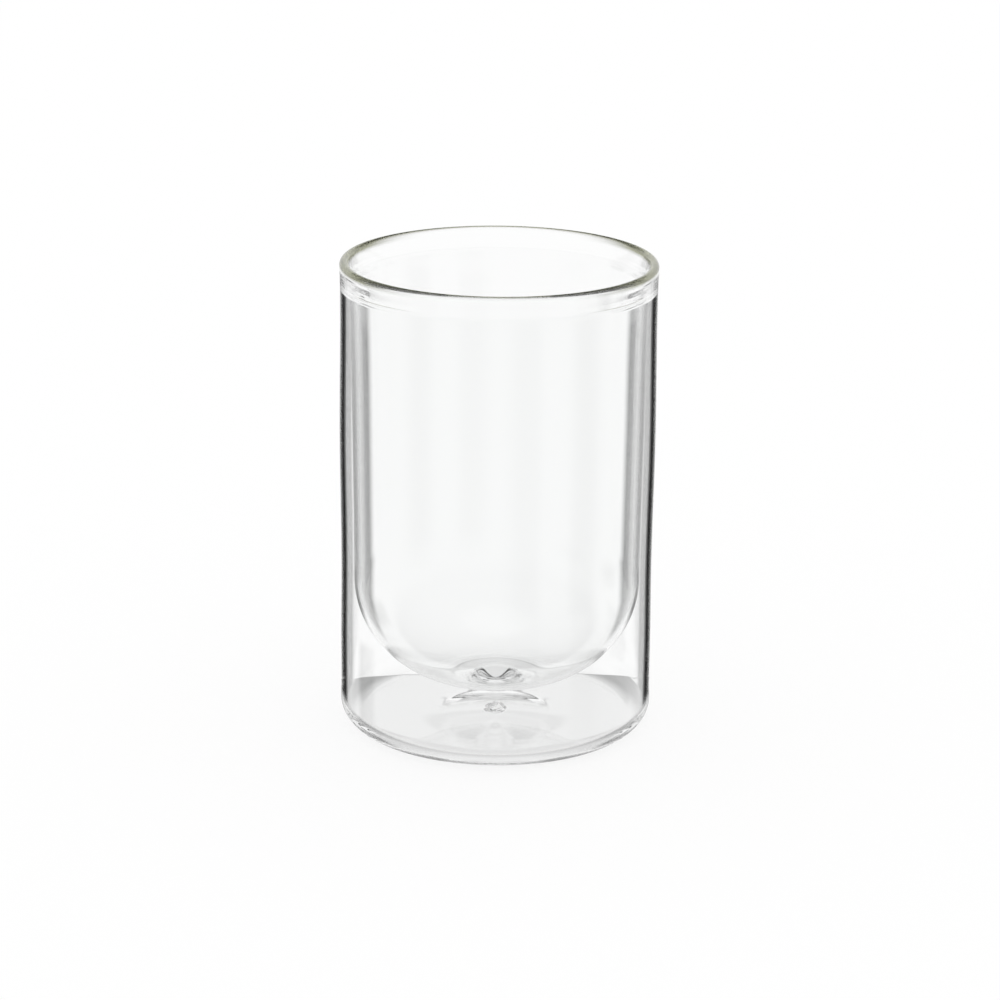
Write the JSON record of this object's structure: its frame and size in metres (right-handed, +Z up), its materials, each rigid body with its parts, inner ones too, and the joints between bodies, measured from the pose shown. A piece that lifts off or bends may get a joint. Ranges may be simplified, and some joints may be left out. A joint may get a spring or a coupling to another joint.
{
  "type": "double-walled drinking glass",
  "caption": "Straight double-walled tumbler of clear glass: a round-bottomed cup inside a cylindrical jacket, fused at a rounded lip, with an insulating air gap.",
  "frame": {"origin": "on the table, under the middle of the base", "axes": "+Z up along the axis of the glass; the object is round, so X and Y are free"},
  "size_m": [0.08, 0.08, 0.121],
  "materials": {
    "clear_glass": "clear, fire-polished",
    "lip_glass": "clear with a slight olive tint where it is thick"
  },
  "bodies": {
    "root": {"outer_shell": "clear_glass", "inner_cup": "clear_glass", "lip_weld": "lip_glass", "vent_seal": "clear_glass", "cup_tip": "clear_glass"}
  },
  "joints": []
}
